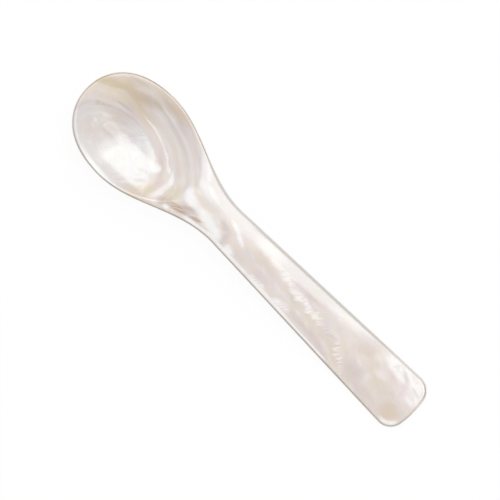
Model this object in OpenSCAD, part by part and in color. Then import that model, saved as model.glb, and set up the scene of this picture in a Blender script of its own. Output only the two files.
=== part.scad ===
// Caviar spoon carved from one piece of mother-of-pearl.
// It lies along X with the tip of the bowl at -X, the hollow facing +Z, and rests on Z = 0
// on the bottom of the bowl and on the end of the handle. Lengths are in millimetres.

/* [Overall] */
// Length from the tip of the bowl to the end of the handle
spoon_length = 110; // [90:1:140]

/* [Bowl] */
// Greatest width of the bowl
bowl_width = 26; // [20:0.5:32]
// Distance from the tip of the bowl to its widest point
bowl_widest = 16.5; // [13:0.5:20]
// Distance from the tip of the bowl to the end of the hollow, at the height of the rim
hollow_end = 35; // [30:0.2:40]
// Depth of the hollow below the rim
hollow_depth = 5; // [3.5:0.1:6.5]
// Width of the lip between the hollow and the outline
rim_lip = 0.7; // [0.5:0.05:1.2]
// Thickness of the rim
rim_thickness = 0.9; // [0.6:0.05:1.4]
// Thickness of the wall under the deepest point of the hollow
bowl_wall = 1.4; // [1:0.1:2.4]
// How far the outside of the bowl runs on behind the hollow
bowl_heel = 5; // [3:0.1:7]

/* [Neck] */
// Distance from the tip of the bowl to the neck
neck_distance = 47.5; // [43:0.5:55]
// Width of the neck
neck_width = 10.5; // [8:0.2:14]
// Thickness of the neck in the middle
neck_thickness = 3.2; // [2.6:0.1:4.5]
// Height of the crown across the top of the neck
neck_crown = 0.9; // [0.2:0.05:1.1]
// Height of the belly across the underside of the neck
neck_belly = 0.7; // [0:0.05:0.9]
// Rise of the neck above the rim of the bowl
neck_rise = 0.5; // [0:0.1:2]
// Depth over which the outside of the bowl flows into the underside of the handle
neck_blend = 2; // [0.5:0.1:3]

/* [Handle] */
// Width of the handle at its end, before the corners are rounded
end_width = 15.1; // [11:0.1:20]
// Thickness of the end in the middle
end_thickness = 2; // [1.4:0.1:3.2]
// Height of the crown across the top of the end
end_crown = 0.3; // [0:0.05:0.6]
// Length of the flat under the end, on which the handle rests
rest_length = 12; // [8:0.5:20]
// Radius of the corners of the end
corner_radius = 4.2; // [2:0.1:5]
// Radius of the curve of the end between its corners
end_radius = 25; // [12:1:60]

/* [Hidden] */

shell_colour = [0.90, 0.87, 0.84];

rim_height = hollow_depth + bowl_wall;
neck_height = rim_height + neck_rise;
rest_start = spoon_length - rest_length;
neck_edge = neck_thickness - neck_crown - neck_belly;
end_edge = end_thickness - end_crown;

// Points along the outline, and rings from the edge of the blank to its middle
nose_steps = 16;
flank_steps = 22;
handle_steps = 18;
corner_steps = 6;
end_steps = 5;
edge_steps = 4;
inner_rings = 8;

// Points round the hollow, and rings from its rim to its middle
hollow_steps = 72;
hollow_rings = 10;

// Height by which the cutter for the hollow stands clear above the neck
cutter_clearance = 1;

// The middle line that the rings of the blank close on runs between these distances from the tip
spine_start = bowl_widest / 2;
spine_end = spoon_length - corner_radius;

function lerp(a, b, t) = a + (b - a) * t;
function ease(t) = (1 - cos(180 * min(1, max(0, t)))) / 2;
function smooth_min(a, b, blend) =
    let (h = max(0, blend - abs(a - b)) / blend)
    min(a, b) - blend * h * h / 4;

// In the functions below, s is the distance from the tip of the bowl along the spoon.
// This value changes smoothly from the bowl to the neck and from the neck to the end.
function along(s, at_bowl, at_neck, at_end, end = spoon_length) =
    s < neck_distance
        ? lerp(at_bowl, at_neck, ease((s - bowl_widest) / (neck_distance - bowl_widest)))
        : lerp(at_neck, at_end, ease((s - neck_distance) / (end - neck_distance)));

// An egg outline is given by its lengths in front of and behind its widest point and its half-width.
// Its coordinate along the spoon is -1 at the front, 0 at the widest point and 1 at the back.
outside_egg = [bowl_widest, hollow_end - bowl_widest + bowl_heel, bowl_width / 2];
hollow_egg = [bowl_widest - rim_lip, hollow_end - bowl_widest, bowl_width / 2 - rim_lip];
function egg_middle(egg) = (egg[1] + egg[0]) / 2;
function egg_skew(egg) = (egg[1] - egg[0]) / 2;
function egg_s(egg, u) = bowl_widest + u * (egg_middle(egg) + egg_skew(egg) * u);
function egg_u(egg, s) =
    let (d = s - bowl_widest, root = pow(egg_middle(egg), 2) + 4 * egg_skew(egg) * d)
    2 * d / (egg_middle(egg) + sqrt(max(0, root)));

// Square of the egg's radius at a point: 0 in the middle and 1 on the egg's outline
function egg_square(egg, s, y) = pow(egg_u(egg, s), 2) + pow(y / egg[2], 2);

// Half-width of the tapered handle, and of the whole spoon behind the widest point of the bowl
handle_flare = (end_width - neck_width) / 2 / (spoon_length - neck_distance);
function handle_half_width(s) = neck_width / 2 + handle_flare * (s - neck_distance);
function half_width(s) =
    lerp(bowl_width / 2, handle_half_width(s), ease((s - bowl_widest) / (neck_distance - bowl_widest)));

// Square of the share of the half-width at a point behind the widest point of the bowl
function side_square(s, y) = s <= bowl_widest ? 0 : pow(y / half_width(s), 2);

// Height of the top of the blank, which is level over the bowl and over the rest, and crowned between
function top_height(s, y) =
    along(s, rim_height, neck_height, end_thickness, rest_start)
    - along(s, 0, neck_crown, end_crown) * side_square(s, y);

// Height of the underside, where the outside of the bowl flows into the handle
function bowl_underside(s, y) = (rim_height - rim_thickness) * egg_square(outside_egg, s, y);
function handle_underside(s, y) =
    along(s, rim_height - rim_thickness + neck_blend, neck_height - neck_thickness, 0, rest_start)
    + along(s, 0, neck_belly, 0, rest_start) * side_square(s, y);
function underside_height(s, y) = smooth_min(bowl_underside(s, y), handle_underside(s, y), neck_blend);

// The edge is fully rounded, so its radius is half its thickness
function edge_radius(s) = along(s, rim_thickness, neck_edge, end_edge) / 2;

// Centre of the arc of a corner, which touches the side of the handle and the curve of the end
side_slant = sqrt(1 + handle_flare * handle_flare);
corner_offset = handle_half_width(0) - corner_radius * side_slant;
end_centre = spoon_length - end_radius;
corner_b = handle_flare * corner_offset - end_centre;
corner_c = pow(end_centre, 2) + pow(corner_offset, 2) - pow(end_radius - corner_radius, 2);
corner_s = (-corner_b + sqrt(pow(corner_b, 2) - pow(side_slant, 2) * corner_c)) / pow(side_slant, 2);
corner_y = corner_offset + handle_flare * corner_s;
corner_start = 90 + atan(handle_flare);
corner_stop = atan2(corner_y, corner_s - end_centre);
side_stop = corner_s + corner_radius * cos(corner_start);

// One side of the outline from the tip to the end, as distance from the tip and half-width
nose = [for (i = [0 : nose_steps - 1])
    let (angle = 90 * i / nose_steps)
    [egg_s(outside_egg, -cos(angle)), outside_egg[2] * sin(angle)]];
flank = [for (i = [0 : flank_steps - 1])
    let (s = lerp(bowl_widest, neck_distance, i / flank_steps))
    [s, half_width(s)]];
handle_side = [for (i = [0 : handle_steps - 1])
    let (s = lerp(neck_distance, side_stop, i / handle_steps))
    [s, half_width(s)]];
corner = [for (i = [0 : corner_steps - 1])
    let (angle = lerp(corner_start, corner_stop, i / corner_steps))
    [corner_s + corner_radius * cos(angle), corner_y + corner_radius * sin(angle)]];
handle_end = [for (i = [0 : end_steps])
    let (angle = lerp(corner_stop, 0, i / end_steps))
    [end_centre + end_radius * cos(angle), end_radius * sin(angle)]];
side = concat(nose, flank, handle_side, corner, handle_end);

// The whole outline: one side to the end, and the other side back to the tip
last = len(side) - 1;
loop_length = 2 * last;
loop = [0 : loop_length - 1];
outline = concat(side, [for (i = [1 : last - 1]) [side[last - i][0], -side[last - i][1]]]);
function inward(i) =
    let (way = outline[(i + 1) % loop_length] - outline[(i + loop_length - 1) % loop_length])
    [way[1], -way[0]] / norm(way);

// A point of a ring that lies an angle round the edge, from -90 underneath to 90 on top
function edge_point(i, angle) =
    let (p = outline[i] + inward(i) * edge_radius(outline[i][0]) * (1 - cos(angle)),
        low = underside_height(p[0], p[1]),
        high = top_height(p[0], p[1]))
    [p[0], p[1], lerp(low, high, (1 + sin(angle)) / 2)];

// A point of a ring that lies a share of the way from the edge to the middle line
function inner_plan(i, share) =
    lerp(outline[i] + inward(i) * edge_radius(outline[i][0]),
        [lerp(spine_start, spine_end, outline[i][0] / spoon_length), 0], share);
function top_point(i, share) =
    let (p = inner_plan(i, share))
    [p[0], p[1], top_height(p[0], p[1])];
function underside_point(i, share) =
    let (p = inner_plan(i, share))
    [p[0], p[1], underside_height(p[0], p[1])];

// Rings of the blank from the middle of its top, round its edge, to the middle of its underside
shares = [for (j = [1 : inner_rings]) j / (inner_rings + 0.5)];
rings = concat(
    [for (j = [inner_rings - 1 : -1 : 0]) [for (i = loop) top_point(i, shares[j])]],
    [for (k = [edge_steps : -1 : -edge_steps]) [for (i = loop) edge_point(i, 90 * k / edge_steps)]],
    [for (j = [0 : inner_rings - 1]) [for (i = loop) underside_point(i, shares[j])]]);

// Triangles between rings of equal length that follow each other in a list of points
function band_faces(first, ring_length, ring_count) =
    [for (r = [0 : ring_count - 2]) for (i = [0 : ring_length - 1])
        let (a = first + r * ring_length + i, b = first + r * ring_length + (i + 1) % ring_length)
        each [[a, a + ring_length, b], [b, a + ring_length, b + ring_length]]];

// Triangles across the middle line inside one ring of the blank
function middle_faces(first) = concat(
    [[first, first + 1, first + loop_length - 1]],
    [for (i = [1 : last - 2])
        let (left = first + i, right = first + loop_length - i)
        each [[left, left + 1, right], [right, left + 1, right - 1]]],
    [[first + last - 1, first + last, first + last + 1]]);
function flipped(faces) = [for (f = faces) [f[0], f[2], f[1]]];

// The hollow is cut by eggs that widen upwards until they stand clear above the neck
cutter_reach = sqrt(1 + (neck_rise + cutter_clearance) / hollow_depth);
function hollow_point(angle, radius) =
    [egg_s(hollow_egg, radius * cos(angle)), hollow_egg[2] * radius * sin(angle),
        rim_height - hollow_depth * (1 - radius * radius)];
hollow_points = concat([hollow_point(0, 0)],
    [for (j = [1 : hollow_rings]) for (i = [0 : hollow_steps - 1])
        hollow_point(360 * i / hollow_steps, cutter_reach * j / hollow_rings)]);
lid_first = 1 + (hollow_rings - 1) * hollow_steps;
hollow_faces = concat(
    [for (i = [0 : hollow_steps - 1]) [0, 1 + i, 1 + (i + 1) % hollow_steps]],
    band_faces(1, hollow_steps, hollow_rings),
    [[for (i = [hollow_steps - 1 : -1 : 0]) lid_first + i]]);

module blank() {
    polyhedron([for (ring = rings) each ring], concat(
        band_faces(0, loop_length, len(rings)), middle_faces(0),
        flipped(middle_faces((len(rings) - 1) * loop_length))));
}

module hollow() {
    polyhedron(hollow_points, hollow_faces);
}

module spoon() {
    color(shell_colour)
        translate([-spoon_length / 2, 0, 0])
            difference() {
                blank();
                hollow();
            }
}

spoon();
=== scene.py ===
"""A caviar spoon carved from one piece of mother-of-pearl, and the stage that it is pictured on."""

import math
from types import SimpleNamespace

import bmesh
import bpy
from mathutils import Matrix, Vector


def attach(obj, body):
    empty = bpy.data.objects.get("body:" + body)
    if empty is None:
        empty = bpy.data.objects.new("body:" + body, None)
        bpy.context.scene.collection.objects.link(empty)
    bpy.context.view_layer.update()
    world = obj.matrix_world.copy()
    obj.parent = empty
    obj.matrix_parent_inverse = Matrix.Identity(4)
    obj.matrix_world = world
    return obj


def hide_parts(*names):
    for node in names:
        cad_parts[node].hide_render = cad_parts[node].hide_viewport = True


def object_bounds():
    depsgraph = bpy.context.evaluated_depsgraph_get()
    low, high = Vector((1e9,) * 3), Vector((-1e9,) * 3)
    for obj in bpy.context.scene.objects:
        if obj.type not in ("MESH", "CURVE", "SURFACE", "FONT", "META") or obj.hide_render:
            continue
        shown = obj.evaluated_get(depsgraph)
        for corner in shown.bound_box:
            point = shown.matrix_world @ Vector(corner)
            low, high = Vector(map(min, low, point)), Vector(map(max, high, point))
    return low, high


bl_info = {
    "name": "Caviar Spoon",
    "version": (1, 0, 0),
    "blender": (4, 5, 0),
    "location": "3D View > Sidebar > Spoon",
    "description": "Carves a mother-of-pearl caviar spoon and sets up its stage",
    "category": "Add Mesh",
}

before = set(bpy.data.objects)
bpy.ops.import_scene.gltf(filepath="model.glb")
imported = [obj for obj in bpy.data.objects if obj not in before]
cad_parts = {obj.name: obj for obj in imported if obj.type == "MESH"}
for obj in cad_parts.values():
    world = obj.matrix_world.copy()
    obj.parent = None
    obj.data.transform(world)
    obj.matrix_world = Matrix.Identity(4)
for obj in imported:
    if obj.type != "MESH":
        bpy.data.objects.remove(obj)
CAD_BOX = [list(corner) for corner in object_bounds()]
CAD_SIZE = [high - low for low, high in zip(*CAD_BOX)]

MM = 0.001
SPOON = "spoon"
SHELL = "mother_of_pearl"

# Faces of the carved half from its middle line over the edge to the underside, and along its outline
TOP_ROWS = 56
EDGE_ROWS = 16
UNDERSIDE_ROWS = 40
OUTLINE_STEPS = 330

# How much the rows crowd together towards the edge, and how near two points of the halves are one
ROW_CROWDING = 1.3
MERGE_DISTANCE = 0.001 * MM

# Shares of the outline's steps at which the nose, the side and the corner stop
NOSE_STOP = 0.24
SIDE_STOP = 0.90
CORNER_STOP = 0.96

# The unevenness of hand polishing: its waves in a metre, how far from the edge it fades, and how much of it
# is left outside the hollow
RIPPLE_WAVES = 160.0
RIPPLE_FADE = 3.0 * MM
RIPPLE_OUTSIDE = 0.4

# How strongly the layers and the polish on them bend light, how far light travels in the shell, the share of
# that way which each colour goes, and the depth of the layers' relief
LAYER_IOR = 1.53
POLISH_IOR = 1.6
LIGHT_REACH = 1.0 * MM
REACH_OF_COLOURS = (1.0, 0.8, 0.65)
RELIEF_DEPTH = 0.1 * MM

# Share of the floor's look that is plain white, while the rest takes the spoon's shadow
FLOOR_GLOW = 0.93

# The floor lies this much lower than the spoon's flat rest, so that the two don't share a plane
FLOOR_GAP = 0.02 * MM

# Width of the camera's sensor in millimetres, and the turn that lays the spoon across the picture
SENSOR_WIDTH = 36.0
CAMERA_TURN = math.radians(45)


def linear(*srgb):
    """Turn a colour of 0 to 255 as it is seen on a screen into the numbers that shaders use."""
    shares = [level / 255 for level in srgb]
    return [share / 12.92 if share <= 0.04045 else ((share + 0.055) / 1.055) ** 2.4 for share in shares]


def length(name, description, default):
    """A size that a user may change."""
    return bpy.props.FloatProperty(name=name, description=description, default=default, min=0.0,
                                   precision=5, unit="LENGTH")


def colour(name, description, *srgb):
    """A colour that a user may change."""
    return bpy.props.FloatVectorProperty(name=name, description=description, default=linear(*srgb),
                                         min=0.0, max=1.0, size=3, subtype="COLOR")


def fraction(name, description, default):
    """A number from 0 to 1 that a user may change."""
    return bpy.props.FloatProperty(name=name, description=description, default=default, min=0.0, max=1.0,
                                   subtype="FACTOR")


class SpoonShape(bpy.types.PropertyGroup):
    """Sizes of the carved spoon"""

    spoon_length: length("Spoon Length", "From the tip of the bowl to the end of the handle", CAD_SIZE[0])
    bowl_width: length("Bowl Width", "Width across the widest place of the bowl", CAD_SIZE[1])
    bowl_widest: length("Bowl Widest", "From the tip to the widest place of the bowl", 16.5 * MM)
    hollow_end: length("Hollow End", "From the tip to the back of the hollow", 35.0 * MM)
    hollow_depth: length("Hollow Depth", "Depth of the hollow below the rim", 5.0 * MM)
    rim_lip: length("Rim Lip", "Width of the level rim round the hollow", 0.7 * MM)
    rim_thickness: length("Rim Thickness", "Thickness of the bowl at its rim", 0.9 * MM)
    bowl_wall: length("Bowl Wall", "Thickness of the bowl at its deepest place", 1.4 * MM)
    bowl_heel: length("Bowl Heel", "How far the outside of the bowl reaches behind the hollow", 5.0 * MM)
    neck_distance: length("Neck Distance", "From the tip to the narrowest place of the neck", 47.5 * MM)
    neck_width: length("Neck Width", "Width of the neck", 10.5 * MM)
    neck_thickness: length("Neck Thickness", "Thickness of the neck on its middle line", 3.2 * MM)
    neck_crown: length("Neck Crown", "How far the top of the neck falls to its sides", 0.9 * MM)
    neck_belly: length("Neck Belly", "How far the underside of the neck rises to its sides", 0.7 * MM)
    neck_rise: length("Neck Rise", "Height of the neck above the rim", 0.5 * MM)
    neck_blend: length("Neck Blend", "Reach of the blend from bowl to handle on the underside", 2.0 * MM)
    end_width: length("End Width", "Width of the handle at its end", 15.1 * MM)
    end_thickness: length("End Thickness", "Thickness of the handle at its end", 2.0 * MM)
    end_crown: length("End Crown", "How far the top of the end falls to its sides", 0.3 * MM)
    rest_length: length("Rest Length", "Length of the flat under the end of the handle", 12.0 * MM)
    corner_radius: length("Corner Radius", "Radius of the corners of the end", 4.2 * MM)
    end_radius: length("End Radius", "Radius of the curve of the end", 25.0 * MM)
    crease_softness: length("Crease Softness", "How much the edge of the hollow is polished away", 0.16 * MM)
    polish_ripple: length("Polish Ripple", "Height of the unevenness that hand polishing leaves", 0.05 * MM)


class ShellColours(bpy.types.PropertyGroup):
    """Colours of the shell"""

    # Pearl is the white of the shell's layers, and also paints highlights along the edges, on the neck and
    # on the corner of the end
    pearl: colour("Pearl", "White of the brightest layers", 254, 252, 251)
    silver: colour("Silver", "Cold white of the innermost layers", 223, 221, 219)
    peach: colour("Peach", "Warm white of the finest lines", 254, 244, 238)
    cream: colour("Cream", "Warm pale layers", 236, 224, 211)
    rose: colour("Rose", "Pink layers", 231, 220, 216)
    taupe: colour("Taupe", "Greyish brown growth lines", 213, 200, 194)
    gold: colour("Gold", "Golden layers near the outside of the shell", 222, 202, 172)
    olive: colour("Olive", "Greenish gold layers", 217, 206, 182)
    # Sea grey is a grey of the layers, and also paints the shade of the rounded edge on the far side of the
    # handle
    sea_grey: colour("Sea Grey", "Cool grey layers", 218, 213, 210)
    mauve: colour("Mauve", "Purplish brown mottles", 192, 178, 176)
    umber: colour("Umber", "Dark brown streaks", 186, 162, 138)
    blush: colour("Blush", "Reddish mottles", 224, 198, 188)
    lilac: colour("Lilac", "Tint of the pearly shine", 250, 244, 255)
    honey: colour("Honey", "Tint of the pearly shine", 255, 253, 238)
    mint: colour("Mint", "Tint of the pearly shine", 246, 255, 246)
    # Painted shade: the rim line paints the shade of the rounded edge all round, and also colours dark
    # streaks in the hollow; the rim shadow paints the darkest of that shade
    streak_and_rim_shade: colour("Rim Line", "Dark line of cut layers round the edge", 166, 157, 142)
    rim_shadow: colour("Rim Shadow", "Darkest layers of that line", 120, 108, 88)


class ShellFinish(bpy.types.PropertyGroup):
    """Gloss of the shell"""

    layer_roughness: fraction("Layer Roughness", "Roughness of the layers under the polish", 0.32)
    polish: fraction("Polish", "Strength of the polished surface", 1.0)
    polish_roughness: fraction("Polish Roughness", "Roughness of the polished surface", 0.09)
    glow: fraction("Glow", "How much light travels inside the shell", 0.12)
    lustre: fraction("Lustre", "Strength of the pearly shine of the layers", 0.08)


class StudioStage(bpy.types.PropertyGroup):
    """Camera, light and floor"""

    view_width: length("View Width", "Width of floor that the picture shows", 119.4 * MM)
    view_shift: length("View Shift", "How far the picture's middle lies towards the bowl", 0.1 * MM)
    camera_height: length("Camera Height", "Height of the camera above the floor", 3.0)
    lamp_distance: length("Lamp Distance", "From the spoon to the soft lamp", 0.6)
    lamp_width: length("Lamp Width", "Side of the soft lamp along the spoon", 0.39)
    lamp_height: length("Lamp Height", "Side of the soft lamp that slopes away from the spoon", 0.55)
    lamp_shift: length("Lamp Shift", "How far the soft lamp stands towards the tip of the bowl", 0.165)
    lamp_overlap: length("Lamp Overlap", "How far both lamps reach towards the place above the spoon", 0.3)
    wing_width: length("Wing Width", "Side along the spoon of the small lamp beside the soft lamp", 0.27)
    wing_height: length("Wing Height", "Other side of the small lamp beside the soft lamp", 0.2)
    lamp_tilt: bpy.props.FloatProperty(name="Lamp Tilt", default=math.radians(39), unit="ROTATION",
                                       description="Angle of the lamps from straight above")
    lamp_glow: bpy.props.FloatProperty(name="Lamp Glow", description="Brightness of the lamps' faces",
                                       default=2.0, min=0.0)
    fill: fraction("Fill", "Light that comes from all round", 0.728)
    floor_size: length("Floor Size", "Side of the floor", 8.0)
    floor_white: colour("Floor White", "Colour of the floor", 255, 255, 255)


SIZE_NAMES = list(SpoonShape.__annotations__)
COLOUR_NAMES = list(ShellColours.__annotations__)


class Term:
    """A value in a node tree, which can be worked with like a plain number."""

    def __init__(self, tree, socket):
        self.tree = tree
        self.socket = socket

    def math(self, operation, *others):
        inputs = dict(enumerate((self, *others)))
        return term(put(self.tree, "ShaderNodeMath", inputs, operation=operation))

    def __add__(self, other):
        return self.math("ADD", other)

    def __sub__(self, other):
        return self.math("SUBTRACT", other)

    def __rsub__(self, other):
        return self.math("MULTIPLY_ADD", -1.0, other)

    def __mul__(self, other):
        return self.math("MULTIPLY", other)

    def __truediv__(self, other):
        return self.math("DIVIDE", other)

    def __abs__(self):
        return self.math("ABSOLUTE")

    __radd__ = __add__
    __rmul__ = __mul__

    def squared(self):
        return self * self

    def root(self):
        return self.math("SQRT")

    def power(self, exponent):
        return self.math("POWER", exponent)

    def above(self, other):
        return self.math("MAXIMUM", other)

    def below(self, other):
        return self.math("MINIMUM", other)

    def kept_in(self, low, high):
        return self.above(low).below(high)

    def is_over(self, other):
        return self.math("GREATER_THAN", other)


def plug(tree, socket, value):
    """Link a term to a socket, or set the socket to a plain value."""
    if isinstance(value, Term):
        tree.links.new(value.socket, socket)
    else:
        socket.default_value = value


def put(tree, kind, inputs=None, **settings):
    """Add a node, set its options, and plug its inputs, which are given by name or by number."""
    node = tree.nodes.new(kind)
    for name, value in settings.items():
        setattr(node, name, value)
    for key, value in (inputs or {}).items():
        plug(tree, node.inputs[key], value)
    return node


def term(node, output=0):
    """The value that a node gives."""
    return Term(node.id_data, node.outputs[output])


def split(vector):
    """The three numbers of a vector."""
    node = put(vector.tree, "ShaderNodeSeparateXYZ", {0: vector})
    return [term(node, axis) for axis in range(3)]


def gather(x, y, z):
    """A vector of three numbers."""
    return term(put(x.tree, "ShaderNodeCombineXYZ", {0: x, 1: y, 2: z}))


def between(first, second, share):
    """The value a share of the way from the first to the second."""
    return first + (second - first) * share


def chosen(test, if_true, if_false):
    """One of two values by a test of 0 or 1."""
    return between(if_false, if_true, test)


def ease(share):
    """A share that starts and stops gently."""
    return 0.5 - (share.kept_in(0.0, 1.0) * math.pi).math("COSINE") * 0.5


def soft_minimum(first, second, blend):
    """The smaller of two values, rounded where they are alike."""
    near = (blend - abs(first - second)).above(0.0)
    return first.below(second) - near.squared() / (blend * 4.0)


class SpoonRules:
    """The rules that give the spoon's outline and heights. All distances along it start at the tip."""

    def __init__(self, size):
        self.size = size
        self.half_bowl = size.bowl_width * 0.5
        self.rim_height = size.hollow_depth + size.bowl_wall
        self.neck_height = self.rim_height + size.neck_rise
        self.rest_start = size.spoon_length - size.rest_length
        taper_length = size.spoon_length - size.neck_distance
        self.flare = (size.end_width - size.neck_width) * 0.5 / taper_length
        hollow_back = size.hollow_end - size.bowl_widest
        self.outside_egg = (size.bowl_widest, hollow_back + size.bowl_heel, self.half_bowl)
        self.hollow_egg = (size.bowl_widest - size.rim_lip, hollow_back,
                           self.half_bowl - size.rim_lip)

    def to_neck(self, s):
        """Eased share of the way from the widest place of the bowl to the neck."""
        size = self.size
        return ease((s - size.bowl_widest) / (size.neck_distance - size.bowl_widest))

    def along(self, s, at_bowl, at_neck, at_end, end):
        """A value that changes smoothly from the bowl to the neck and from the neck to the end."""
        neck = self.size.neck_distance
        to_end = ease((s - neck) / (end - neck))
        return between(at_bowl, at_neck, self.to_neck(s)) + (at_end - at_neck) * to_end

    def egg_square(self, egg, s, y):
        """Square of an egg's radius at a place: 0 in its middle and 1 on its outline."""
        front, back, half = egg
        middle = (front + back) * 0.5
        skew = (back - front) * 0.5
        from_widest = s - self.size.bowl_widest
        root = (middle.squared() + skew * from_widest * 4.0).above(0.0).root()
        return (from_widest * 2.0 / (middle + root)).squared() + (y / half).squared()

    def handle_half_width(self, s):
        """Half the width of the handle, whose sides are taken as straight as far as the tip."""
        return self.size.neck_width * 0.5 + self.flare * (s - self.size.neck_distance)

    def half_width(self, s):
        """Half the width of the outline behind the widest place of the bowl."""
        return between(self.half_bowl, self.handle_half_width(s), self.to_neck(s))

    def side_square(self, s, y):
        """Square of the share of the half-width at a place behind the widest place of the bowl."""
        return s.is_over(self.size.bowl_widest) * (y / self.half_width(s)).squared()

    def top(self, s, y):
        """Height of the top before the hollow is scooped out."""
        size = self.size
        crest = self.along(s, self.rim_height, self.neck_height, size.end_thickness, self.rest_start)
        crown = self.along(s, size.spoon_length * 0.0, size.neck_crown, size.end_crown,
                           size.spoon_length)
        return crest - crown * self.side_square(s, y)

    def hollow(self, s, y):
        """Height of the scooped hollow."""
        return self.rim_height - self.size.hollow_depth * (1.0 - self.egg_square(self.hollow_egg, s, y))

    def underside(self, s, y):
        """Height of the underside, where the outside of the bowl flows into the handle."""
        size = self.size
        nothing = size.spoon_length * 0.0
        rim_under = self.rim_height - size.rim_thickness
        bowl = rim_under * self.egg_square(self.outside_egg, s, y)
        keel = self.along(s, rim_under + size.neck_blend, self.neck_height - size.neck_thickness,
                          nothing, self.rest_start)
        belly = self.along(s, nothing, size.neck_belly, nothing, self.rest_start)
        return soft_minimum(bowl, keel + belly * self.side_square(s, y), size.neck_blend)

    def edge_radius(self, s):
        """Radius of the rounded edge, which is half the edge's thickness."""
        size = self.size
        neck_edge = size.neck_thickness - size.neck_crown - size.neck_belly
        end_edge = size.end_thickness - size.end_crown
        return self.along(s, size.rim_thickness, neck_edge, end_edge, size.spoon_length) * 0.5

    def nose_outline(self, share):
        """Place and direction of the outline round the front of the bowl."""
        front, back, half = self.outside_egg
        middle = (front + back) * 0.5
        skew = (back - front) * 0.5
        angle = share * (math.pi / 2)
        forward = angle.math("COSINE") * -1.0
        sideways = angle.math("SINE")
        s = self.size.bowl_widest + forward * (middle + skew * forward)
        return s, half * sideways, sideways * (middle + skew * forward * 2.0), half * forward * -1.0

    def side_outline(self, share, stop):
        """Place and direction of the outline along the side of the bowl, the neck and the handle."""
        size = self.size
        bowl_to_neck = size.neck_distance - size.bowl_widest
        s = between(size.bowl_widest, stop, share)
        turn = ((s - size.bowl_widest) / bowl_to_neck).kept_in(0.0, 1.0) * math.pi
        ease_slope = turn.math("SINE") * (math.pi / 2) / bowl_to_neck
        slope = (self.handle_half_width(s) - self.half_bowl) * ease_slope + self.flare * self.to_neck(s)
        return s, self.half_width(s), s * 0.0 + 1.0, slope

    def arc_outline(self, share, centre, radius, start, stop):
        """Place and direction of the outline along an arc."""
        angle = between(start, stop, share)
        across = angle.math("SINE")
        forward = angle.math("COSINE")
        return centre[0] + radius * forward, centre[1] + radius * across, across, forward * -1.0

    def outline(self, share):
        """Place and direction of one side of the outline, from the tip of the bowl to the end."""
        size = self.size

        # The corner's middle lies a corner radius inside the straight side and inside the curve of the end
        slant_square = self.flare.squared() + 1.0
        handle_at_tip = self.handle_half_width(size.spoon_length * 0.0)
        offset = handle_at_tip - size.corner_radius * slant_square.root()
        end_centre = size.spoon_length - size.end_radius
        lean = self.flare * offset - end_centre
        reach = size.end_radius - size.corner_radius
        gap = end_centre.squared() + offset.squared() - reach.squared()
        corner_s = ((lean.squared() - slant_square * gap).root() - lean) / slant_square
        corner_y = offset + self.flare * corner_s
        corner_start = self.flare.math("ARCTANGENT") + math.pi / 2
        corner_stop = corner_y.math("ARCTAN2", corner_s - end_centre)
        side_stop = corner_s + size.corner_radius * corner_start.math("COSINE")

        nose = self.nose_outline(share / NOSE_STOP)
        side = self.side_outline((share - NOSE_STOP) / (SIDE_STOP - NOSE_STOP), side_stop)
        corner = self.arc_outline((share - SIDE_STOP) / (CORNER_STOP - SIDE_STOP), (corner_s, corner_y),
                                  size.corner_radius, corner_start, corner_stop)
        end = self.arc_outline((share - CORNER_STOP) / (1.0 - CORNER_STOP), (end_centre, end_centre * 0.0),
                               size.end_radius, corner_stop, corner_stop * 0.0)
        stretches = nose
        for start, following in ((NOSE_STOP, side), (SIDE_STOP, corner), (CORNER_STOP, end)):
            passed = share.is_over(start)
            stretches = [chosen(passed, later, earlier) for earlier, later in zip(stretches, following)]
        return stretches


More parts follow.
